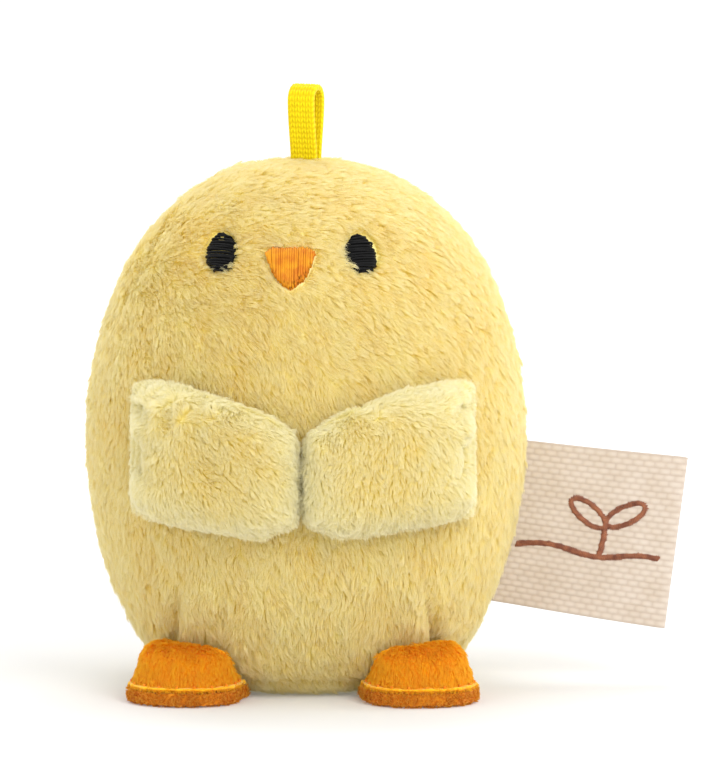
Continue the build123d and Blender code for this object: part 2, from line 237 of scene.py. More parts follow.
def material(name, roughness, sheen=0.0, specular=0.3):
    m = bpy.data.materials.new(name)
    m.use_nodes = True
    shader = m.node_tree.nodes["Principled BSDF"]
    shader.inputs["Roughness"].default_value = roughness
    shader.inputs["Sheen Weight"].default_value = sheen
    shader.inputs["Sheen Roughness"].default_value = 0.5
    shader.inputs["Specular IOR Level"].default_value = specular
    return m, m.node_tree, shader


def node(tree, kind, **inputs):
    n = tree.nodes.new(kind)
    for key, value in inputs.items():
        n.inputs[key.replace("_", " ")].default_value = value
    return n


def ramp(tree, factor, stops):
    r = tree.nodes.new("ShaderNodeValToRGB")
    while len(r.color_ramp.elements) < len(stops):
        r.color_ramp.elements.new(0.5)
    for element, (position, colour) in zip(r.color_ramp.elements, stops):
        element.position = position
        element.color = (*colour, 1)
    tree.links.new(factor, r.inputs["Fac"])
    return r.outputs["Color"]


def blend_colours(tree, factor, a, b, mode="MIX"):
    m = tree.nodes.new("ShaderNodeMix")
    m.data_type = "RGBA"
    m.blend_type = mode
    if isinstance(factor, float):
        m.inputs["Factor"].default_value = factor
    else:
        tree.links.new(factor, m.inputs["Factor"])
    tree.links.new(a, m.inputs["A"])
    tree.links.new(b, m.inputs["B"])
    return m.outputs["Result"]


def noise_value(tree, scale, detail=2.0, stretch=(1, 1, 1)):
    place = node(tree, "ShaderNodeTexCoord")
    mapping = node(tree, "ShaderNodeMapping", Scale=stretch)
    texture = node(tree, "ShaderNodeTexNoise", Scale=scale, Detail=detail)
    tree.links.new(place.outputs["Object"], mapping.inputs["Vector"])
    tree.links.new(mapping.outputs["Vector"], texture.inputs["Vector"])
    return texture.outputs["Fac"]


def attribute(tree, name):
    a = node(tree, "ShaderNodeAttribute")
    a.attribute_name = name
    return a.outputs["Fac"]


def add_bump(tree, shader, height, strength, distance):
    b = node(tree, "ShaderNodeBump", Strength=strength, Distance=distance)
    tree.links.new(height, b.inputs["Height"])
    tree.links.new(b.outputs["Normal"], shader.inputs["Normal"])


def backing_material(name, pale, deep):
    """The dense lower pile seen as a surface: pale to deep by the stored colour depth, which holds dye and painted
    shade, with streaks of dye and fine fibre bumps.
    """
    m, tree, shader = material(name, 0.9, sheen=0.35, specular=0.1)
    backing_dye_and_shade = ramp(tree, attribute(tree, "dye_and_painted_light"), ((0.0, pale), (1.0, deep)))
    streaks = noise_value(tree, 900, 3, (1, 1, 0.45))
    shade = ramp(tree, streaks, ((0.3, (0.93, 0.91, 0.84)), (0.65, (1, 1, 1))))
    colour = blend_colours(tree, 1.0, backing_dye_and_shade, shade, "MULTIPLY")
    tree.links.new(colour, shader.inputs["Base Color"])
    add_bump(tree, shader, noise_value(tree, 2600, 2, (1, 1, 0.4)), 0.6, 0.2 * MM)
    return m


TIP_SHARE = 0.75  # how far a fibre's end has turned to the colour of its tip
SEE_THROUGH = 0.5  # how much of the light on a fibre goes through it


def fibre_material(name, pale, deep, tip):
    """Single fibres: deep and warm at the root as painted shade in the pile's depth, pale at the tip as a painted
    highlight, each a little different. They also carry the surface's colour depth, dye and painted shade.
    """
    m, tree, shader = material(name, 0.55, specular=0.25)
    hair = node(tree, "ShaderNodeHairInfo")
    fibre_dye_and_shade = ramp(tree, attribute(tree, "dye_and_painted_light"), ((0.0, pale), (1.0, deep)))
    tipped = ramp(tree, hair.outputs["Intercept"], ((0.25, (0, 0, 0)), (1.0, (1, 1, 1))))
    end = tree.nodes.new("ShaderNodeRGB")
    end.outputs["Color"].default_value = (*tip, 1)
    amount = node(tree, "ShaderNodeMath")
    amount.operation = "MULTIPLY"
    amount.inputs[1].default_value = TIP_SHARE
    tree.links.new(tipped, amount.inputs[0])
    colour = blend_colours(tree, amount.outputs[0], fibre_dye_and_shade, end.outputs["Color"])
    spread = ramp(tree, hair.outputs["Random"], ((0.0, (0.95, 0.94, 0.90)), (1.0, (1, 1, 1))))
    colour = blend_colours(tree, 1.0, colour, spread, "MULTIPLY")
    tree.links.new(colour, shader.inputs["Base Color"])
    through = node(tree, "ShaderNodeBsdfTranslucent")
    tree.links.new(colour, through.inputs["Color"])
    mix = tree.nodes.new("ShaderNodeMixShader")
    mix.inputs["Fac"].default_value = SEE_THROUGH
    tree.links.new(shader.outputs["BSDF"], mix.inputs[1])
    tree.links.new(through.outputs["BSDF"], mix.inputs[2])
    tree.links.new(mix.outputs["Shader"], tree.nodes["Material Output"].inputs["Surface"])
    return m


def thread_material(name, dark, light, roughness, scale, shine=0.4):
    """Embroidery or sewing thread: silky, with twist lines and uneven dye."""
    m, tree, shader = material(name, roughness, sheen=0.2 * shine, specular=shine)
    colour = ramp(tree, noise_value(tree, scale, 2), ((0.35, dark), (0.65, light)))
    tree.links.new(colour, shader.inputs["Base Color"])
    add_bump(tree, shader, noise_value(tree, 6 * scale, 1), 0.5, 0.05 * MM)
    return m


def textile_material(name, gap, yarn, scale):
    """Knitted or woven tape: the yarn's colour on its high places, and a deeper colour in its gaps as painted
    shade.
    """
    m, tree, shader = material(name, 0.75, sheen=0.1, specular=0.15)
    relief = ramp(tree, attribute(tree, "dye_and_painted_light"), ((0.05, yarn), (0.85, gap)))
    uneven = ramp(tree, noise_value(tree, scale, 2), ((0.3, (0.93, 0.91, 0.88)), (0.7, (1, 1, 1))))
    colour = blend_colours(tree, 1.0, relief, uneven, "MULTIPLY")
    tree.links.new(colour, shader.inputs["Base Color"])
    add_bump(tree, shader, noise_value(tree, 5 * scale, 1), 0.4, 0.05 * MM)
    return m


# The first colour of each tape is painted shade for its gaps.
loop_yarn = textile_material("loop_yarn", (0.74, 0.54, 0.0), (0.93, 0.83, 0.004), 500)
label_yarn = textile_material("label_yarn", (0.57, 0.47, 0.385), (0.68, 0.59, 0.50), 300)

# Each pile's pale and deep colour, for dye patches and for painted shade, and the pale colour of its fibres' tips,
# a painted highlight.
PILES = {
    "body": ((0.98, 0.91, 0.48), (0.96, 0.79, 0.15), (1.0, 0.96, 0.78)),
    "wing": ((0.99, 0.95, 0.64), (0.98, 0.84, 0.18), (1.0, 0.98, 0.86)),
    "foot": ((0.98, 0.58, 0.015), (0.95, 0.36, 0.008), (1.0, 0.72, 0.07)),
    "sole": ((0.76, 0.30, 0.015), (0.62, 0.16, 0.006), (0.92, 0.60, 0.10)),
}
backing = {name: backing_material(f"{name}_backing", *pile_dye_and_light[:2]) for name, pile_dye_and_light in PILES.items()}
fibre = {name: fibre_material(f"{name}_fibre", *pile_dye_and_light) for name, pile_dye_and_light in PILES.items()}
eye_thread = thread_material("eye_thread", (0.001, 0.001, 0.001), (0.004, 0.004, 0.004), 0.5, 900, 0.12)
beak_thread = thread_material("beak_thread", (0.62, 0.18, 0.003), (0.76, 0.32, 0.007), 0.5, 700, 0.25)
foot_thread = thread_material("foot_thread", (0.74, 0.18, 0.006), (0.86, 0.30, 0.012), 0.6, 900, 0.2)
motif_yarn = thread_material("motif_yarn", (0.20, 0.06, 0.03), (0.36, 0.13, 0.06), 0.6, 900)
stuffing_fibre = thread_material("stuffing_fibre", (0.75, 0.75, 0.72), (0.9, 0.9, 0.88), 0.9, 300)
seam_thread = thread_material("seam_thread", (0.80, 0.60, 0.18), (0.92, 0.76, 0.30), 0.5, 900)

# ======== pile ========

STRAND_TAPER = (1.0, 0.95, 0.8, 0.55, 0.2)  # a strand's radius from root to tip
STRAND_POINTS = len(STRAND_TAPER)
STRAND_LENGTH = (0.75, 1.15)  # the shortest and longest, as shares of the length asked for
CUT_SHARE = 0.4  # how much is left of a strand that would lean over an edge
TUFT_SIZE = 24
TUFT_PULL = (0.05, 0.45)  # how far a tuft draws its strands together
STRAY = 0.12  # how far a strand's tip strays, as a share of how far it leans
TUFT_STRAY = 0.3
DYE_SPREAD = 0.10
GROUND_AIR = 0.05 * MM  # how far everything stays above the ground


def sample_surface(item, count, rng):
    """Evenly spread points on a mesh with their smooth normals and colour depths, which hold dye and painted
    light.
    """
    corners = triangles(item)
    points = vertex_array(item)
    normals = vertex_array(item, "normal")
    dye_and_painted_light = np.empty(len(points), dtype=np.float32)
    item.data.attributes["dye_and_painted_light"].data.foreach_get("value", dye_and_painted_light)
    a, b, c = (points[corners[:, i]] for i in range(3))
    area = np.linalg.norm(np.cross(b - a, c - a), axis=1)
    total = np.cumsum(area)
    pick = np.searchsorted(total, rng.random(count) * total[-1])
    u, v = rng.random(count), rng.random(count)
    fold = u + v > 1
    u[fold], v[fold] = 1 - u[fold], 1 - v[fold]
    weights = np.stack((1 - u - v, u, v), axis=1)[:, :, None]
    chosen = corners[pick]
    return (
        (points[chosen] * weights).sum(axis=1),
        unit((normals[chosen] * weights).sum(axis=1)),
        (dye_and_painted_light[chosen] * weights[:, :, 0]).sum(axis=1),
    )


def grow_pile(name, item, body, look, count, rise, lay, flow, keep=None, radius=0.03, seed=1):
    """Strands on a mesh: each rises from its root, leans over along flow and joins a tuft.

    Rise and lay are how far its tip goes outwards and along, and radius is in millimetres. Keep says
    where pile may be. A strand that would lean over the edge of that is cut short.
    """
    rng = np.random.default_rng(seed)
    root, out, dye_and_painted_light = sample_surface(item, count, rng)
    if keep is not None:
        kept = keep(root)
        root, out, dye_and_painted_light = root[kept], out[kept], dye_and_painted_light[kept]
    along = flow(root, out)
    long = rng.uniform(*STRAND_LENGTH, (len(root), 1))
    if keep is not None:
        long = np.where(keep(root + lay * along)[:, None], long, CUT_SHARE * long)
    end = root + (out * rise + along * lay) * long + rng.normal(0, STRAY * lay, root.shape)

    tufts = max(len(root) // TUFT_SIZE, 1)
    tree = KDTree(tufts)
    for i in range(tufts):
        tree.insert(root[i], i)
    tree.balance()
    own = np.fromiter((tree.find(p)[1] for p in root), dtype=int, count=len(root))
    pull = rng.uniform(*TUFT_PULL, tufts)[own][:, None]
    meeting = end[own] + rng.normal(0, TUFT_STRAY * lay, (tufts, 3))[own]
    end = end * (1 - pull) + meeting * pull

    t = np.linspace(0, 1, STRAND_POINTS)[None, :, None]
    across = end - root
    height = (across * out).sum(axis=1, keepdims=True)
    flat = across - height * out
    strand = (
        root[:, None]
        + (height * out)[:, None] * (1 - (1 - t) ** 2)
        + flat[:, None] * t**1.6
    )
    strand[:, :, 2] = np.maximum(strand[:, :, 2], GROUND_AIR)

    curves = bpy.data.hair_curves.new(name)
    curves.add_curves([STRAND_POINTS] * len(strand))
    curves.attributes["position"].data.foreach_set("vector", strand.astype(np.float32).ravel())
    width = curves.attributes.get("radius") or curves.attributes.new("radius", "FLOAT", "POINT")
    taper = np.array(STRAND_TAPER) * radius * MM
    width.data.foreach_set("value", np.tile(taper, len(strand)).astype(np.float32))
    # Each strand keeps the colour depth of its root, dye and painted light, with a random spread.
    pile_dye_and_light = curves.attributes.new("dye_and_painted_light", "FLOAT", "CURVE")
    spread = dye_and_painted_light + rng.normal(0, DYE_SPREAD, len(dye_and_painted_light))
    pile_dye_and_light.data.foreach_set("value", np.clip(spread, 0, 1).astype(np.float32))
    curves.materials.append(look)
    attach(new_object(name, curves), body)


def wander(points, cell, seed):
    """A direction that changes smoothly from place to place."""
    return np.stack([noise(points, cell, seed + i) for i in range(3)], axis=1)


def along_surface(way, out):
    """The part of a direction that lies in the surface whose way out is given, at unit length."""
    return unit(way - (way * out).sum(axis=1, keepdims=True) * out)


def brushed(main, swirl, cell, seed):
    """A lie of the pile that follows main and wanders by swirl."""

    def flow(points, out):
        return along_surface(np.asarray(main)[None] + swirl * wander(points, cell, seed), out)

    return flow


# ======== body ========

BODY_GRID = 126  # quads along each side of the body's six grids
BODY_STRANDS = 650000
SINK = 0.75 * MM  # the dense pile's surface lies this far inside the tips
EYES = [box("left_eye_stitching")[2], box("right_eye_stitching")[2]]
BEAK = box("beak_stitching")[2]
FEET = [box("left_foot_upper")[2], box("right_foot_upper")[2]]
SEAM_HEIGHT = box("base_panel")[1][2]
DART_HEIGHT = (6 * MM, 20 * MM)


def ball_of_quads(count):
    """A ball of unit radius made of six curved grids of quads."""
    edge = np.tan(np.linspace(-1, 1, count + 1) * math.pi / 4)
    u, v = (a.ravel() for a in np.meshgrid(edge, edge, indexing="ij"))
    sides = []
    for axis in range(3):
        for sign in (-1, 1):
            side = np.empty((len(u), 3))
            side[:, axis] = sign
            side[:, (axis + 1) % 3] = u * sign
            side[:, (axis + 2) % 3] = v
            sides.append(side)
    i, j = (a.ravel() for a in np.meshgrid(range(count), range(count), indexing="ij"))
    first = i * (count + 1) + j
    quad = np.stack((first, first + count + 1, first + count + 2, first + 1), axis=1)
    quads = np.concatenate([quad + k * len(u) for k in range(6)])
    points = unit(np.concatenate(sides))
    _, keep, place = np.unique(
        np.round(points, 6), axis=0, return_index=True, return_inverse=True
    )
    return points[keep], place.ravel()[quads]


def dent(points, middle, depth, width):
    """A round hollow in the cloth about one place."""
    return -depth * bump(np.linalg.norm(points - middle, axis=1), width)


def shape_of_body(points):
    """How far the cloth stands out of, or sinks into, the plain form."""
    x, y, z = points.T
    front = y < 0
    # The stuffing's own lumps, large and small.
    push = 0.35 * MM * noise(points, 13 * MM, 11) + 0.18 * MM * noise(points, 5 * MM, 12)
    # The side seam and the base seam pull in.
    push -= 0.55 * MM * bump(y, 0.9 * MM)
    push -= 0.5 * MM * bump(z - SEAM_HEIGHT, 0.8 * MM)
    # The embroidery pulls in, more above each eye than around it.
    for eye in EYES:
        push += dent(points, eye + (0, 0, 2.4 * MM), 0.5 * MM, 3.0 * MM)
        push += dent(points, eye, 0.25 * MM, 3.6 * MM)
    push += dent(points, BEAK, 0.25 * MM, 5 * MM)
    # A dart runs up from each foot, with a ridge beside it.
    low, high = DART_HEIGHT
    fade = np.clip((high - z) / (high - low), 0, 1) * np.clip((z - 2 * MM) / (4 * MM), 0, 1)
    for foot in FEET:
        outward = np.sign(foot[0])
        line = foot[0] + outward * (2.5 * MM - 0.12 * (z - low))
        push -= front * fade * 1.5 * MM * bump(x - line, 1.1 * MM)
        push += front * fade * 0.5 * MM * bump(x - line + outward * 2.4 * MM, 1.8 * MM)
    return push


def make_body():
    ways, quads = ball_of_quads(BODY_GRID)
    angle = np.arcsin(np.clip(ways[:, 2], -1, 1))
    reach = np.interp(angle, PROFILE_ANGLE, PROFILE_REACH)
    points = BODY_MIDDLE + ways * reach[:, None]
    item = mesh_object("body_plush", points, quads)
    out = vertex_array(item, "normal")
    tufts = noise(points, 1.3 * MM, 21)
    push = shape_of_body(points) - SINK + 0.14 * MM * tufts
    on_ground = points[:, 2] < 0.3 * MM
    push = np.where(on_ground, np.maximum(push, -0.4 * MM), push)
    moved = points + out * push[:, None]
    moved[:, 2] = np.maximum(moved[:, 2], 0.25 * MM)
    move_vertices(item, moved)
    # Colour depth: random dye patches, plus painted shade, deeper wherever the cloth sinks at seams, dents, darts,
    # low lumps and between tufts.
    patches = noise(points, np.array((3.0, 3.0, 5.0)) * MM, 22)
    hollows = -(push + SINK) / MM
    store_dye_and_painted_light(item, 0.42 + 0.22 * patches - 0.18 * tufts + 0.315 * hollows)
    finish_piece(
        item, "body", backing["body"], ("front_panel", "back_panel", "base_panel")
    )
    return item


body = make_body()

EYE_LEAN = {"left": -0.32, "right": 0.18}  # how far an eye's top leans to +X, in half widths
BARE = 0.05 * MM  # how far the pile stays off the embroidery's edge
BEAK_TOP_COVER = 0.45 * MM  # how far the pile reaches over the beak's top edge


def eye_half_width(up):
    """Half of an eye's width where up runs from -1 at its foot to 1 at its top."""
    return np.sqrt(np.clip(1 - np.abs(up) ** 2.4, 0, 1))


def beak_drop(off):
    """How far down the beak reaches where off runs from -1 to 1 across it."""
    return np.clip(1 - np.abs(off) ** 1.6, 0, 1) ** 0.55


def clear_of_face(points):
    """Where pile grows: not through the embroidery, the loop's groove or the ground."""
    x, y, z = points.T
    bare = np.zeros(len(points), bool)
    for side, lean in EYE_LEAN.items():
        low, high, middle = box(f"{side}_eye_stitching")
        half = (high - low) / 2 + BARE
        up = (z - middle[2]) / half[2]
        bare |= (np.abs(x - middle[0] - lean * up * half[0]) < half[0] * eye_half_width(up))
    low, high, middle = box("beak_stitching")
    half = (high - low) / 2 + BARE
    down = (high[2] - BEAK_TOP_COVER - z) / (2 * half[2])
    bare |= (down > 0) & (down < beak_drop((x - middle[0]) / half[0]))
    off_ground = z > 0.7 * MM
    off_loop = np.hypot(x, y) > 1.2 * MM
    return ~(bare & (y < 0)) & off_ground & off_loop


def body_flow(points, out):
    """Pile brushed down the belly, and more and more towards the toy's left up to the face."""
    height = points[:, 2] / BODY_HEIGHT
    across = np.where(points[:, 1] < 0, np.interp(height, (0.25, 0.6, 0.85), (0.1, 0.6, 1.2)), 0.2)
    turn = noise(points, 16 * MM, 31)
    main = np.stack((across + 0.4 * turn, 0 * turn, 0 * turn - 0.8), axis=1)
    return along_surface(main + 0.45 * wander(points, 2.6 * MM, 32), out)


grow_pile(
    "body_pile", body, "body", fibre["body"], BODY_STRANDS,
    rise=0.8 * MM, lay=1.35 * MM, flow=body_flow, keep=clear_of_face,
)

# ======== wings and feet ========


def soft_solid(name, nodes, voxel, rounds):
    """One closed skin round some CAD nodes, with its edges softened by rounds of smoothing."""
    points, faces = cad_surface(*nodes)
    mesh = bpy.data.meshes.new(name)
    mesh.from_pydata(points, [], faces)
    item = new_object(name, mesh)
    remesh = item.modifiers.new("skin", "REMESH")
    remesh.mode = "VOXEL"
    remesh.voxel_size = voxel
    soften = item.modifiers.new("soften", "SMOOTH")
    soften.factor = 0.5
    soften.iterations = rounds
    apply_modifiers(item)
    keep_outer_skin(item)
    return item


def keep_outer_skin(item):
    """Drops the small closed pockets that a remesh leaves inside a skin."""
    b = bmesh.new()
    b.from_mesh(item.data)
    b.verts.ensure_lookup_table()
    seen = set()
    islands = []
    for start in b.verts:
        if start.index in seen:
            continue
        island = [start]
        seen.add(start.index)
        for v in island:
            for e in v.link_edges:
                other = e.other_vert(v)
                if other.index not in seen:
                    seen.add(other.index)
                    island.append(other)
        islands.append(island)
    largest = max(islands, key=len)
    for island in islands:
        if island is not largest:
            bmesh.ops.delete(b, geom=island, context="VERTS")
    b.to_mesh(item.data)
    b.free()


WING_STRANDS = 95000
WING_SEAM_LINE = 2.2 * MM  # how far outside the body a wing's seam runs
WING_CROWN_REACH = np.array((6.0, 6.0)) * MM
WING_HELD = 0.8 * MM  # a wing's pile rides on the body up to this far from its root edge
WING_BEND = 4.0 * MM  # and half this length further; the rest rides on the wing
FOOT_STRANDS = 44000
FRAY_STRANDS = 20000
FOOT_CROWN_REACH = np.array((2.6, 9.0)) * MM  # how far in from its seam a foot slopes, along X and Y
FOOT_RIM = 0.3  # how high a foot's upper stands at its seam, as a share of its full height
STUFFING_SCALE = 20.0  # cloth is simulated at a cushion's size, where its settings behave
STUFFING_FRAMES = 14
STUFFING_PRESSURE = 6.0


def stuff(item, shrink, cap, seam):
    """Swells a closed skin by cloth simulation, as stuffing does, while its seam is held.

    The skin starts smaller by shrink, and no point moves further than cap. Seam holds 1 for the
    vertices on the seam and 0 elsewhere.
    """
    plain = vertex_array(item)
    start = plain - vertex_array(item, "normal") * shrink
    middle = plain.mean(axis=0)
    work = new_object("stuffing_work", item.data.copy())
    move_vertices(work, (start - middle) * STUFFING_SCALE)
    group = work.vertex_groups.new(name="seam")
    group.add([int(i) for i in np.nonzero(seam)[0]], 1.0, "REPLACE")
    modifier = work.modifiers.new("cloth", "CLOTH")
    cloth = modifier.settings
    cloth.quality = 4
    cloth.vertex_group_mass = "seam"
    cloth.use_pressure = True
    cloth.uniform_pressure_force = STUFFING_PRESSURE
    cloth.effector_weights.gravity = 0
    modifier.point_cache.frame_end = STUFFING_FRAMES
    for count in range(1, STUFFING_FRAMES + 1):
        bpy.context.scene.frame_set(count)
    swollen = work.evaluated_get(bpy.context.evaluated_depsgraph_get()).to_mesh()
    end = np.empty(len(plain) * 3)
    swollen.vertices.foreach_get("co", end)
    shift = end.reshape(-1, 3) / STUFFING_SCALE + middle - start
    length = np.linalg.norm(shift, axis=1, keepdims=True)
    move_vertices(item, start + shift * np.minimum(1, cap / np.maximum(length, 1e-9)))
    bpy.data.objects.remove(work)
    bpy.context.scene.frame_set(1)


def refine(item):
    """Subdivides a skin once and applies the result."""
    item.modifiers.new("refine", "SUBSURF").levels = 1
    apply_modifiers(item)


def level_out(points):
    """The level direction from the body's middle line to each point."""
    return unit(points * (1, 1, 0))


def body_distance(points):
    """How far points are outside the body's form, measured level."""
    radius = np.interp(points[:, 2], PROFILE_HEIGHT, PROFILE_RADIUS)
    return np.hypot(points[:, 0], points[:, 1]) - radius


def crown_height(points, ring, reach):
    """How high a cushion stands at points of a plane: 0 on its seam ring, 1 from reach inwards.

    Reach has a value for each of the plane's two directions.
    """
    tree = KDTree(len(ring))
    for i, spot in enumerate(ring / reach):
        tree.insert((*spot, 0), i)
    tree.balance()
    far = np.array([tree.find((*spot, 0))[2] for spot in points / reach])
    return np.sqrt(1 - (1 - np.clip(far, 0, 1)) ** 2)


def make_wing(side):
    nodes = [f"{side}_wing_{part}" for part in ("outer_panel", "inner_panel", "filling")]
    item = soft_solid(f"{side}_wing_plush", nodes, voxel=0.62 * MM, rounds=16)
    points = vertex_array(item)
    out = vertex_array(item, "normal")
    low, high, middle = box(f"{side}_wing_outer_panel")
    half = (high - low) / 2
    sideways = np.abs((out * level_out(points)).sum(axis=1)) < 0.5
    gap = body_distance(points)
    seam = sideways & (np.abs(gap - WING_SEAM_LINE) < 0.7 * MM)
    swell = crown_height(points[:, (0, 2)], points[seam][:, (0, 2)], WING_CROWN_REACH)
    lower = np.clip(gap - WING_SEAM_LINE, 0, None) * (1 - swell)
    move_vertices(item, points - level_out(points) * lower[:, None])
    shrink = 0.55 * MM * ~seam[:, None] + 0.4 * MM * seam[:, None]
    stuff(item, shrink, cap=1.4 * MM, seam=seam)
    refine(item)

    points = vertex_array(item)
    out = vertex_array(item, "normal")
    off = np.abs((points - middle) / half)
    centre = np.clip(1 - off[:, 0] ** 2.5, 0, 1) * np.clip(1 - off[:, 2] ** 2.5, 0, 1)
    facing = np.clip((out * level_out(points)).sum(axis=1), 0, 1)
    tufts = noise(points, 1.2 * MM, 41)
    push = 0.12 * MM * tufts + 0.25 * MM * noise(points, 5 * MM, 42)
    off_body = (body_distance(points) > 0.8 * MM)[:, None]
    move_vertices(item, points + out * push[:, None] * off_body)
    # Colour depth: paler at the rims and on faces not turned outwards, as a painted sheen, deeper in the middle of
    # the outward face with random patches there, and painted shade between tufts.
    patches = noise(points, 2.8 * MM, 43)
    store_dye_and_painted_light(item, 0.02 + 0.8 * centre * facing + 0.28 * patches * centre - 0.1 * tufts)

    # The pile near the root edge rides on the body, and the pile beyond it on the wing.
    pivot = np.array(joint(f"{side}_wing_lift")["pos_m"])
    radial = level_out(pivot)
    along = np.sign(pivot[0]) * np.array((radial[1], -radial[0], 0))
    root_edge = ((vertex_array(item) - pivot) @ along).min()
    start = pivot + along * (root_edge + WING_HELD)
    finish_bending_piece(
        item,
        backing["wing"], (*nodes, f"{side}_wing_edge_thread"),
    )

    def flow(points, out):
        rim = np.clip(np.abs((points - middle) / half), 0, 1) ** 2
        away = np.sign(points - middle) * rim
        way = away + np.array((0.25, 0, -0.5)) + 0.4 * wander(points, 2.2 * MM, 44)
        return along_surface(way, out)

    def beyond_root(points):
        return (points - start) @ along > WING_BEND / 2

    def at_root(points):
        return ~beyond_root(points)

    parts = (("pile", f"{side}_wing", beyond_root), ("root_pile", "body", at_root))
    for name, rides_on, keep in parts:
        grow_pile(
            f"{side}_wing_{name}", item, rides_on, fibre["wing"], WING_STRANDS,
            rise=0.75 * MM, lay=1.0 * MM, flow=flow, keep=keep, seed=3,
        )


def make_foot(side):
    upper_nodes = [f"{side}_foot_upper", f"{side}_foot_filling"]
    upper = soft_solid(f"{side}_foot_plush", upper_nodes, voxel=0.5 * MM, rounds=6)
    sole = soft_solid(f"{side}_foot_band", [f"{side}_foot_sole"], voxel=0.4 * MM, rounds=3)
    _, upper_high, _ = box(f"{side}_foot_upper")
    _, sole_high, _ = box(f"{side}_foot_sole")
    points = vertex_array(upper)
    near_sole = points[:, 2] < sole_high[2] + 0.5 * MM
    seam = near_sole | (body_distance(points) < 1.2 * MM)
    edge = near_sole & (np.abs(vertex_array(upper, "normal")[:, 2]) < 0.8)
    swell = crown_height(points[:, :2], points[edge][:, :2], FOOT_CROWN_REACH)
    swell = FOOT_RIM + (1 - FOOT_RIM) * swell
    points[:, 2] -= np.clip(points[:, 2] - sole_high[2], 0, None) * (1 - swell)
    move_vertices(upper, points)
    shrink = 0.7 * MM * ~seam[:, None] + 0.3 * MM * seam[:, None]
    stuff(upper, shrink, cap=1.3 * MM, seam=seam)
    for item, cell, seed in ((upper, 1.1, 51), (sole, 0.8, 52)):
        refine(item)
        points = vertex_array(item)
        out = vertex_array(item, "normal")
        tufts = noise(points, cell * MM, seed)
        push = 0.12 * MM * tufts - (0.35 if item is sole else 0.15) * MM
        moved = points + out * push[:, None]
        moved[:, 2] = np.maximum(moved[:, 2], GROUND_AIR)
        move_vertices(item, moved)
        # Colour depth: random streaks, plus painted shade, deeper towards the top of the upper where it tucks
        # under the body, and between tufts.
        rise = (points[:, 2] - sole_high[2]) / (upper_high[2] - sole_high[2])
        streaks = noise(points, np.array((0.7, 0.7, 3.0)) * MM, seed + 10)
        store_dye_and_painted_light(item, 0.3 + 0.35 * streaks + 0.3 * np.clip(rise, 0, 1) ** 3 - 0.1 * tufts)
    finish_piece(upper, f"{side}_foot", backing["foot"], upper_nodes)
    finish_piece(sole, f"{side}_foot", backing["sole"], (f"{side}_foot_sole",))

    def clear_of_body(points):
        return (body_distance(points) > 1.0 * MM) & (points[:, 2] > 0.3 * MM)

    grow_pile(
        f"{side}_foot_pile", upper, f"{side}_foot", fibre["foot"], FOOT_STRANDS,
        rise=0.4 * MM, lay=0.8 * MM, flow=brushed((0, -0.5, -1), 0.3, 1.6 * MM, 53),
        keep=clear_of_body, seed=5,
    )
    grow_pile(
        f"{side}_foot_fray", sole, f"{side}_foot", fibre["sole"], FRAY_STRANDS,
        rise=0.5 * MM, lay=0.4 * MM, flow=brushed((0, -0.3, 0.3), 1.6, 0.7 * MM, 54),
        keep=clear_of_body, radius=0.04, seed=6,
    )


for side in ("left", "right"):
    make_wing(side)
    make_foot(side)

# ======== stitched, knitted and woven pieces ========


THREAD_SIDES = 6
THREAD_END = 0.55  # how thick a thread is at its two ends, as a share
NEARLY_UP = UP + 0.01  # no thread runs exactly this way


def strip_faces(count, sides):
    """Faces of a closed strip made of count rings of points, with a cap at each end."""
    faces = []
    for i in range(count - 1):
        for j in range(sides):
            k = (j + 1) % sides
            faces.append((i * sides + j, i * sides + k, (i + 1) * sides + k, (i + 1) * sides + j))
    faces.append(tuple(range(sides))[::-1])
    faces.append(tuple((count - 1) * sides + j for j in range(sides)))
    return faces


def tube(points, radius):
    """A closed round thread along points. Returns its vertices and faces."""
    points = np.asarray(points)
    along = unit(np.gradient(points, axis=0))
    across = unit(np.cross(along, NEARLY_UP))
    other = np.cross(along, across)
    turn = np.linspace(0, 2 * math.pi, THREAD_SIDES, endpoint=False)
    size = np.full(len(points), radius)
    size[[0, -1]] *= THREAD_END
    ring = (
        across[:, None] * np.cos(turn)[None, :, None]
        + other[:, None] * np.sin(turn)[None, :, None]
    )
    rings = points[:, None] + ring * size[:, None, None]
    return rings.reshape(-1, 3), strip_faces(len(points), THREAD_SIDES)


def thread_object(name, tubes):
    """One piece made of many threads."""
    points = []
    faces = []
    count = 0
    for verts, quads in tubes:
        faces += [tuple(count + i for i in f) for f in quads]
        points.append(verts)
        count += len(verts)
    return mesh_object(name, np.concatenate(points), faces)


THREAD = 0.19 * MM  # its radius
THREAD_PITCH = 0.33 * MM
EMBROIDERY_LAYERS = 2
EMBROIDERY_REACH = 0.96  # how near the last rows come to an outline, from 0 in the middle to 1 on it
EMBROIDERY_SINK = -1.4 * MM  # a stitch's height above the body's form where it enters the cloth
EMBROIDERY_CROWN = 0.05 * MM  # its height where it stands highest


def satin_stitch(ends, crown, radius):
    """One thread over the body's surface between two points given as x and z."""
    (x0, z0), (x1, z1) = ends
    t = (1 - np.cos(np.linspace(0, math.pi, 13))) / 2
    arch = np.sin(math.pi * t) ** 0.15
    points, out = on_front(x0 + (x1 - x0) * t, z0 + (z1 - z0) * t)
    lift = EMBROIDERY_SINK + (crown - EMBROIDERY_SINK) * arch
    return tube(points + out * lift[:, None], radius)


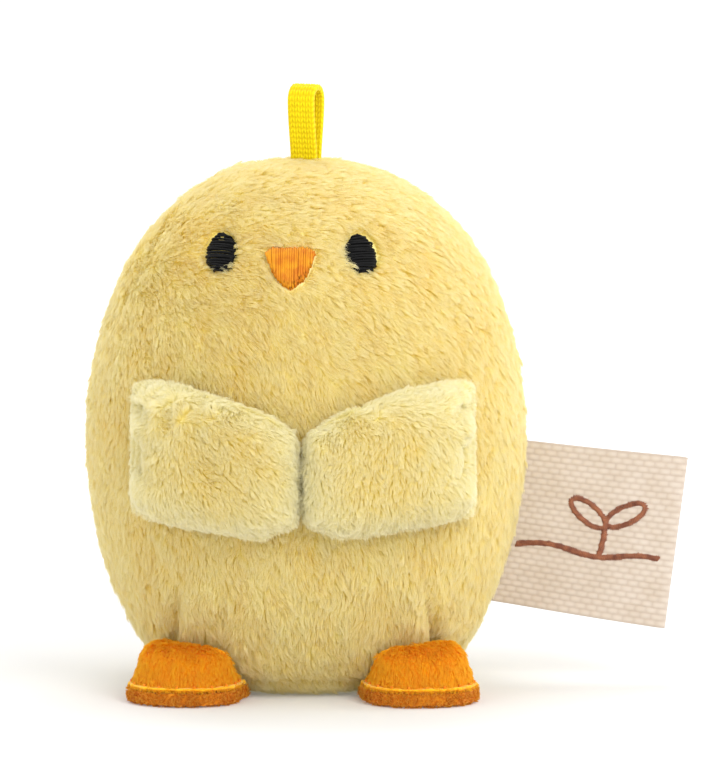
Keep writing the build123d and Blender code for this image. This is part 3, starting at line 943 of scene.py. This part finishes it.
def make_eye(side, seed):
    """Rows of black thread across an oval that leans, as hand-guided embroidery does."""
    rng = np.random.default_rng(seed)
    low, high, middle = box(f"{side}_eye_stitching")
    half = (high - low) / 2
    tubes = []
    rows = int(2 * half[2] / THREAD_PITCH)
    for layer in range(EMBROIDERY_LAYERS):
        for up in np.linspace(-EMBROIDERY_REACH, EMBROIDERY_REACH, rows) + 0.9 * layer / rows:
            wide = half[0] * eye_half_width(up) + 0.1 * MM
            x = middle[0] + EYE_LEAN[side] * up * half[0]
            left, right = (x - wide, x + wide) + rng.normal(0, 0.15 * MM, 2)
            z = middle[2] + up * half[2] + rng.normal(0, 0.04 * MM)
            tilt = rng.normal(0, 0.06 * MM)
            crown = EMBROIDERY_CROWN - 0.18 * MM * layer + rng.normal(0, 0.03 * MM)
            tubes.append(satin_stitch(((left, z - tilt), (right, z + tilt)), crown, THREAD))
    item = thread_object(f"{side}_eye_threads", tubes)
    finish_piece(item, "body", eye_thread, (f"{side}_eye_stitching",))


def make_beak():
    """Threads from the beak's flat top down to its rounded point, fanned a little."""
    rng = np.random.default_rng(61)
    low, high, middle = box("beak_stitching")
    half = (high - low) / 2
    columns = int(2 * half[0] / THREAD_PITCH)
    tubes = []
    for layer in range(EMBROIDERY_LAYERS):
        shift = 0.9 * (layer - 0.5) / columns
        for off in np.linspace(-EMBROIDERY_REACH, EMBROIDERY_REACH, columns) + shift:
            drop = max(2 * half[2] * beak_drop(off), 1.2 * MM)
            top = high[2] + (0.15 - 0.9 * off**8) * MM + rng.normal(0, 0.1 * MM)
            bottom = high[2] - drop + rng.normal(0, 0.1 * MM)
            x = middle[0] + off * half[0]
            foot = middle[0] + off * half[0] * 0.94 + rng.normal(0, 0.09 * MM)
            raised = 0.3 - 0.15 * off**2 - 0.2 * layer + rng.normal(0, 0.04)
            crown = EMBROIDERY_CROWN + raised * MM
            tubes.append(satin_stitch(((x, top), (foot, bottom)), crown, THREAD))
    item = thread_object("beak_threads", tubes)
    finish_piece(item, "body", beak_thread, ("beak_stitching",))


make_eye("left", 62)
make_eye("right", 63)
make_beak()


KNIT_DEPTH = 0.24 * MM
KNIT_WALE = 0.88 * MM
KNIT_COURSE = 0.8 * MM
TAPE_COLUMNS = 36
LOOP_DEPTH = 1.2 * MM  # how thick the tape is
LOOP_LEG_GAP = 0.56  # from the middle to each leg at the crown, as a share of that
LOOP_ROOT = 2.5 * MM  # how far the tape goes on below its hinge
LOOP_STEPS = 60  # points along each leg and round the turn
LOOP_RINGS = 420


def sweep(name, path, across, width, depth, relief):
    """A closed strip along path, both faces raised by relief(along, across)."""
    path = np.asarray(path)
    along = unit(np.gradient(path, axis=0))
    across = unit(np.asarray(across, float))
    out = unit(np.cross(along, across))
    length = np.concatenate(((0,), np.cumsum(np.linalg.norm(np.diff(path, axis=0), axis=1))))
    flat = np.linspace(1, -1, TAPE_COLUMNS) * (width / 2 - depth / 4)
    turn = np.linspace(0, math.pi, 8)[1:-1]
    edge = np.sin(turn) * depth / 4
    wide = np.concatenate((flat, flat[-1] - edge, -flat, flat[0] + edge))
    high = np.concatenate((flat * 0 + 1, np.cos(turn), flat * 0 - 1, -np.cos(turn)))
    height = relief(length[:, None], wide[None])
    raised = (depth / 2 + height * np.abs(high)) * high
    points = path[:, None] + across * wide[None, :, None] + out[:, None] * raised[:, :, None]
    item = mesh_object(name, points.reshape(-1, 3), strip_faces(len(path), len(wide)))
    # Colour depth: painted shade, deeper the lower the relief lies, in the knit's gaps.
    store_dye_and_painted_light(item, -(height / KNIT_DEPTH).ravel())
    return item


def knit(along, across):
    """Columns of V-shaped stitches."""
    column = (across / KNIT_WALE) % 1 * 2 - 1
    phase = along / KNIT_COURSE - 0.55 * np.abs(column)
    stitch = 0.5 + 0.5 * np.cos(2 * math.pi * phase)
    ridge = 1 - np.abs(np.abs(column) - 0.5) * 2
    return KNIT_DEPTH * (stitch * ridge**0.7 * 0.7 + 0.3 * ridge - 1)


def make_loop():
    """The tape from the crown up, over and down again, its legs close together at the crown."""
    low, high, _ = box("hang_loop")
    tilt = joint("loop_tilt")
    pivot = np.array(tilt["pos_m"])
    across = unit(np.array(tilt["axis"]))
    out = np.cross(UP, across)
    turned = np.abs(np.array(((across[0], out[0]), (across[1], out[1]))))
    width, front_to_back = np.linalg.solve(turned, (high - low)[:2])
    reach = (front_to_back - LOOP_DEPTH) / 2
    turn_height = high[2] - LOOP_DEPTH / 2 - reach
    legs = np.linspace(0, 1, LOOP_STEPS)
    foot = LOOP_DEPTH * LOOP_LEG_GAP
    spread = foot + (reach - foot) * (3 * legs**2 - 2 * legs**3)
    z = pivot[2] - LOOP_ROOT + (turn_height - pivot[2] + LOOP_ROOT) * legs
    turn = np.linspace(0, math.pi, LOOP_STEPS)[1:-1]
    side = np.concatenate((spread, reach * np.cos(turn), -spread[::-1]))
    rise = np.concatenate((z, turn_height + reach * np.sin(turn), z[::-1]))
    path = np.array((pivot[0], pivot[1], 0)) + out * side[:, None] + UP * rise[:, None]
    fine = np.linspace(0, len(path) - 1, LOOP_RINGS)
    path = np.stack([np.interp(fine, range(len(path)), path[:, i]) for i in range(3)], axis=1)
    item = sweep("loop_knit", path, across, width, LOOP_DEPTH, knit)
    finish_bending_piece(item, loop_yarn, ("hang_loop",))


WEAVE = np.array((1.65, 0.9)) * MM  # one float of yarn: its length along the tape, and its width
WEAVE_DEPTH = 0.16 * MM
LABEL_FLARE = 0.05  # how much wider the fold is than the root
LABEL_ROOT = -4.5 * MM  # where the label starts, inside the body
LABEL_THICK = 0.5 * MM
LABEL_AIR = 0.06 * MM  # half of the air between its two layers
LABEL_BOW = 0.5 * MM
LABEL_FOLD = 0.03  # the share of each layer that the fold takes
LABEL_GRID = (300, 190)


def make_label():
    """The folded tape, its outer face a staggered basket weave, closed round the air inside."""
    swing = joint("label_swing")
    pivot = np.array(swing["pos_m"])
    hinge = unit(np.array(swing["axis"]))
    along = unit(np.cross((0, 1, 0), hinge))
    front = np.array((0.0, -1.0, 0.0))
    low, high, _ = box("side_label")
    size = np.array((high[0] - low[0], high[2] - low[2]))
    lean = abs(hinge[0])
    length = (size[0] - size[1] * lean) / (math.sqrt(1 - lean**2) - lean**2)
    tall = (size[1] - length * lean) / math.sqrt(1 - lean**2)
    columns, rows = LABEL_GRID
    s = np.linspace(-1, 1, columns + 1)  # from one raw end, over the fold at 0, to the other
    reach = LABEL_ROOT + (length - LABEL_ROOT) * (1 - np.abs(s))
    bow = LABEL_BOW * np.sin(np.clip(reach / length, 0, 1) * math.pi)
    fold = np.clip(np.abs(s) / LABEL_FOLD, 0, 1)
    t = np.linspace(-0.5, 0.5, rows + 1) * tall
    U, V = np.meshgrid(reach, t, indexing="ij")
    row = V / WEAVE[1]
    across_row = np.abs(np.sin(math.pi * row))
    along_row = np.abs(np.sin(math.pi * (U / WEAVE[0] + 0.5 * (np.floor(row) % 2))))
    relief = WEAVE_DEPTH * across_row**0.6 * (0.3 + 0.7 * along_row**0.6)
    V = V * (1 + LABEL_FLARE * (U / length - 0.5))
    layers = []
    weave_shade = []
    for level in (1, 0):
        half = LABEL_AIR + level * LABEL_THICK
        offset = np.sign(s) * half * np.sqrt(1 - (1 - fold) ** 2)
        beyond = half * (1 - fold)
        place = (
            pivot
            + along * (reach + level * beyond)[:, None, None]
            + hinge * V[:, :, None]
            + front * (bow - offset)[:, None, None]
        )
        if level:
            place = place - front * (relief * np.sign(s)[:, None])[:, :, None]
        layers.append(place.reshape(-1, 3))
        # Colour depth: painted shade, deeper in the weave's gaps, and full on the inner layer.
        weave_shade.append((1 - level * relief / WEAVE_DEPTH).ravel())
    across = rows + 1
    total = (columns + 1) * across
    faces = []
    for i in range(columns):
        for j in range(rows):
            a = i * across + j
            faces.append((a, a + 1, a + across + 1, a + across))
            faces.append((total + a, total + a + across, total + a + across + 1, total + a + 1))
    for i in range(columns):
        a, b = i * across, i * across + rows
        faces.append((a, a + across, total + a + across, total + a))
        faces.append((b, total + b, total + b + across, b + across))
    for j in range(rows):
        a, b = j, columns * across + j
        faces.append((a, total + a, total + a + 1, a + 1))
        faces.append((b, b + 1, total + b + 1, total + b))
    item = mesh_object("label_weave", np.concatenate(layers), faces)
    store_dye_and_painted_light(item, np.concatenate(weave_shade))
    finish_bending_piece(
        item,
        label_yarn, ("side_label", "label_tucked_ends"),
    )

    def on_label(u, v, above):
        raised = LABEL_BOW * math.sin(min(max(u / length, 0), 1) * math.pi)
        return pivot + along * u + hinge * v + front * (raised + LABEL_AIR + LABEL_THICK + above)

    make_motif(on_label, length, tall)


MOTIF_WIDTH = 1.0 * MM
MOTIF_PITCH = 0.27 * MM
MOTIF_THREAD = 0.15 * MM
STEM_HEIGHT = 5.2 * MM


def satin_line(points, width, place, rng):
    """A line of short raised stitches laid across a path given in the label's own axes."""
    points = np.asarray(points)
    steps = np.concatenate(((0,), np.cumsum(np.linalg.norm(np.diff(points, axis=0), axis=1))))
    tubes = []
    for d in np.arange(0, steps[-1], MOTIF_PITCH):
        back, here, ahead = (
            np.array([np.interp(d + step, steps, points[:, i]) for i in range(2)])
            for step in (-0.1 * MM, 0, 0.1 * MM)
        )
        way = unit(ahead - back)
        normal = np.array((-way[1], way[0])) + 0.45 * way
        half = width / 2 * rng.uniform(0.85, 1.1)
        spots = [here + normal * half * k for k in (-1, -0.5, 0, 0.5, 1)]
        lift = (0.0, 0.17 * MM, 0.21 * MM, 0.17 * MM, 0.0)
        tubes.append(tube([place(u, v, h) for (u, v), h in zip(spots, lift)], MOTIF_THREAD))
    return tubes


def make_motif(place, length, tall):
    """A plain wavy ground line with a two-leaved sprout, in brown thread."""
    rng = np.random.default_rng(71)
    u = np.linspace(-0.8 * MM, length - 1.6 * MM, 120)
    ground = -0.12 * tall + 0.5 * MM * np.sin(u / length * 3 * math.pi)
    tubes = satin_line(np.stack((u, ground), axis=1), MOTIF_WIDTH, place, rng)
    foot = 0.52 * length
    base = np.interp(foot, u, ground)
    t = np.linspace(0, 1, 40)
    stem = np.stack((foot + 0.4 * MM * np.sin(2 * t), base + STEM_HEIGHT * t), axis=1)
    tubes += satin_line(stem, MOTIF_WIDTH, place, rng)
    for way in (-1, 1):
        turn = t * 2 * math.pi
        leaf_u = foot + 0.4 * MM + way * (1 - np.cos(turn)) * 2.8 * MM
        leaf_v = base + STEM_HEIGHT + 1.5 * MM * np.sin(turn) + (leaf_u - foot) * way * 0.5
        tubes += satin_line(np.stack((leaf_u, leaf_v), axis=1), MOTIF_WIDTH * 0.9, place, rng)
    item = thread_object("label_motif", tubes)
    finish_piece(item, "side_label", motif_yarn)


make_loop()
make_label()

# ======== CAD nodes that stay: stuffing, threads and tucked ends ========

KEPT = {
    "stuffing": stuffing_fibre,
    "stabiliser": stuffing_fibre,
    "sewing_thread": seam_thread,
    "foot_thread": foot_thread,
    "loop_tape": loop_yarn,
    "label_tape": label_yarn,
    "foot_sole_cloth": backing["sole"],
}
for part in frame["record"]["subparts"]:
    item = frame["nodes"][part["node"]]
    if part["material_slot"] in KEPT:
        item.data.materials.clear()
        item.data.materials.append(KEPT[part["material_slot"]])

# ======== floor, light and camera ========

FLOOR_WHITE = (0.74, 0.74, 0.74)
FLOOR_GLOW = (0.12, 0.45)  # near the object, and far away
FLOOR_GLOW_REACH = (60 * MM, 400 * MM)  # where near ends and far begins
FLOOR_HALF = 4.0


def floor_material():
    """A white sweep that glows as painted light: weakly near the object and strongly far away, so that the far
    floor looks white.
    """
    m, tree, shader = material("floor_white", 0.8)
    shader.inputs["Base Color"].default_value = (*FLOOR_WHITE, 1)
    shader.inputs["Emission Color"].default_value = (1, 1, 1, 1)
    place = node(tree, "ShaderNodeTexCoord")
    distance = node(tree, "ShaderNodeVectorMath")
    distance.operation = "LENGTH"
    tree.links.new(place.outputs["Object"], distance.inputs[0])
    glow = node(tree, "ShaderNodeMapRange")
    for end, distance_there, strength in zip(("Min", "Max"), FLOOR_GLOW_REACH, FLOOR_GLOW):
        glow.inputs[f"From {end}"].default_value = distance_there
        glow.inputs[f"To {end}"].default_value = strength
    tree.links.new(distance.outputs["Value"], glow.inputs["Value"])
    tree.links.new(glow.outputs["Result"], shader.inputs["Emission Strength"])
    return m


corners = [(-1, -1), (1, -1), (1, 1), (-1, 1)]
floor = mesh_object(
    "floor", [(FLOOR_HALF * x, FLOOR_HALF * y, 0) for x, y in corners], [(0, 1, 2, 3)], smooth=False
)
floor.data.materials.append(floor_material())


def softbox(name, place, width, share, colour=(1, 1, 1)):
    """A round soft lamp. A white surface that faces it looks as bright as share."""
    aim = Vector((0, 0, BODY_HEIGHT / 2))
    lamp = bpy.data.lights.new(name, "AREA")
    lamp.shape = "DISK"
    lamp.size = width
    lamp.energy = share * math.pi**2 * (Vector(place) - aim).length_squared
    lamp.color = colour
    item = new_object(name, lamp)
    item.location = place
    item.rotation_euler = (aim - Vector(place)).to_track_quat("-Z", "Y").to_euler()


softbox("key", (0.30, -0.50, 0.42), 0.35, 0.46)
softbox("fill", (-0.55, -0.40, 0.20), 0.5, 0.12)
softbox("rim", (0.50, 0.16, 0.30), 0.4, 0.26)
softbox("top", (-0.08, 0.30, 0.62), 0.45, 0.36)

world = bpy.data.worlds.new("studio")
world.use_nodes = True
world.node_tree.nodes["Background"].inputs["Color"].default_value = (1, 1, 1, 1)
world.node_tree.nodes["Background"].inputs["Strength"].default_value = 0.86
bpy.context.scene.world = world
bpy.context.scene.view_settings.view_transform = "Standard"

VIEW_WIDTH = 106.65 * MM  # what the picture spans at the object
DISTANCE = 1.5
AIM = Vector((7.4, 0, 44.8)) * MM
AZIMUTH, ELEVATION = math.radians(1.0), math.radians(6.5)
lens = bpy.data.cameras.new("camera")
lens.sensor_fit = "HORIZONTAL"
lens.lens = lens.sensor_width * DISTANCE / VIEW_WIDTH
lens.clip_start = 0.01
camera = new_object("camera", lens)
way = Vector((
    math.sin(AZIMUTH) * math.cos(ELEVATION),
    -math.cos(AZIMUTH) * math.cos(ELEVATION),
    math.sin(ELEVATION),
))
camera.location = AIM + way * DISTANCE
camera.rotation_euler = (-way).to_track_quat("-Z", "Y").to_euler()
bpy.context.scene.camera = camera
